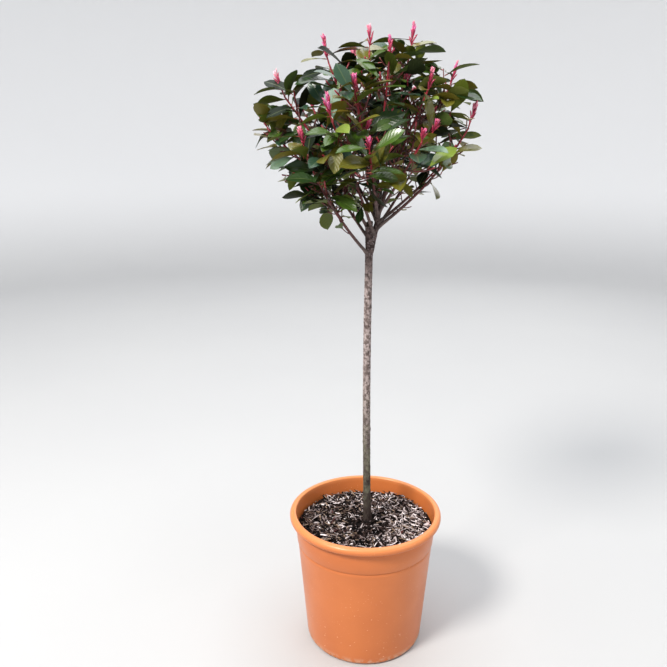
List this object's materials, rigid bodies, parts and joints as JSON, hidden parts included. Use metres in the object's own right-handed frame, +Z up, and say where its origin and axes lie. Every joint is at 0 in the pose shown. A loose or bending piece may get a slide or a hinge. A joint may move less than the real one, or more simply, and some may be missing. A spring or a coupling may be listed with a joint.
{
  "type": "standard-trained evergreen shrub in a round pot",
  "caption": "Lollipop topiary: a clear straight stem with a loose ball of glossy leaves and red young shoots, in a tapered round pot filled with bark compost.",
  "frame": {"origin": "centre of the pot's flat underside", "axes": "+Z up along the stem, -Y towards the side shown in the picture, +X to the right as seen from there"},
  "size_m": [0.3542, 0.3109, 1.0392],
  "materials": {
    "pot": "terracotta orange moulded plastic, satin",
    "compost": "dark chopped bark and compost, rough",
    "bark": "grey-brown bark, matt",
    "bough": "red-brown young bark, matt",
    "foliage": "glossy dark green leaves and red-pink young shoots"
  },
  "bodies": {
    "root": {"pot": "pot", "compost": "compost", "trunk": "bark", "bough_top_front": "bough", "bough_top_right": "bough", "bough_top_left": "bough", "bough_top_back": "bough", "bough_left_high": "bough", "bough_left_edge": "bough", "bough_left_low": "bough", "bough_left_foot": "bough", "bough_front_left": "bough", "bough_front_high": "bough", "bough_front_mid": "bough", "bough_front_right": "bough", "bough_right_mid": "bough", "bough_right_high": "bough", "bough_right_far": "bough", "bough_right_low": "bough", "bough_back_high": "bough", "bough_back_left": "bough", "bough_right_back": "bough", "bough_back_right": "bough", "bough_back_mid": "bough", "bough_back_low_left": "bough", "bough_back_low_right": "bough", "foliage_top": "foliage", "foliage_top_front": "foliage", "foliage_top_right": "foliage", "foliage_top_left": "foliage", "foliage_top_back": "foliage", "foliage_left_high": "foliage", "foliage_left_edge": "foliage", "foliage_left_low": "foliage", "foliage_left_foot": "foliage", "foliage_front_left": "foliage", "foliage_front_high": "foliage", "foliage_front_mid": "foliage", "foliage_front_right": "foliage", "foliage_right_mid": "foliage", "foliage_right_high": "foliage", "foliage_right_far": "foliage", "foliage_right_low": "foliage", "foliage_back_high": "foliage", "foliage_back_left": "foliage", "foliage_right_back": "foliage", "foliage_back_right": "foliage", "foliage_back_mid": "foliage", "foliage_back_low_left": "foliage", "foliage_back_low_right": "foliage"}
  },
  "joints": []
}
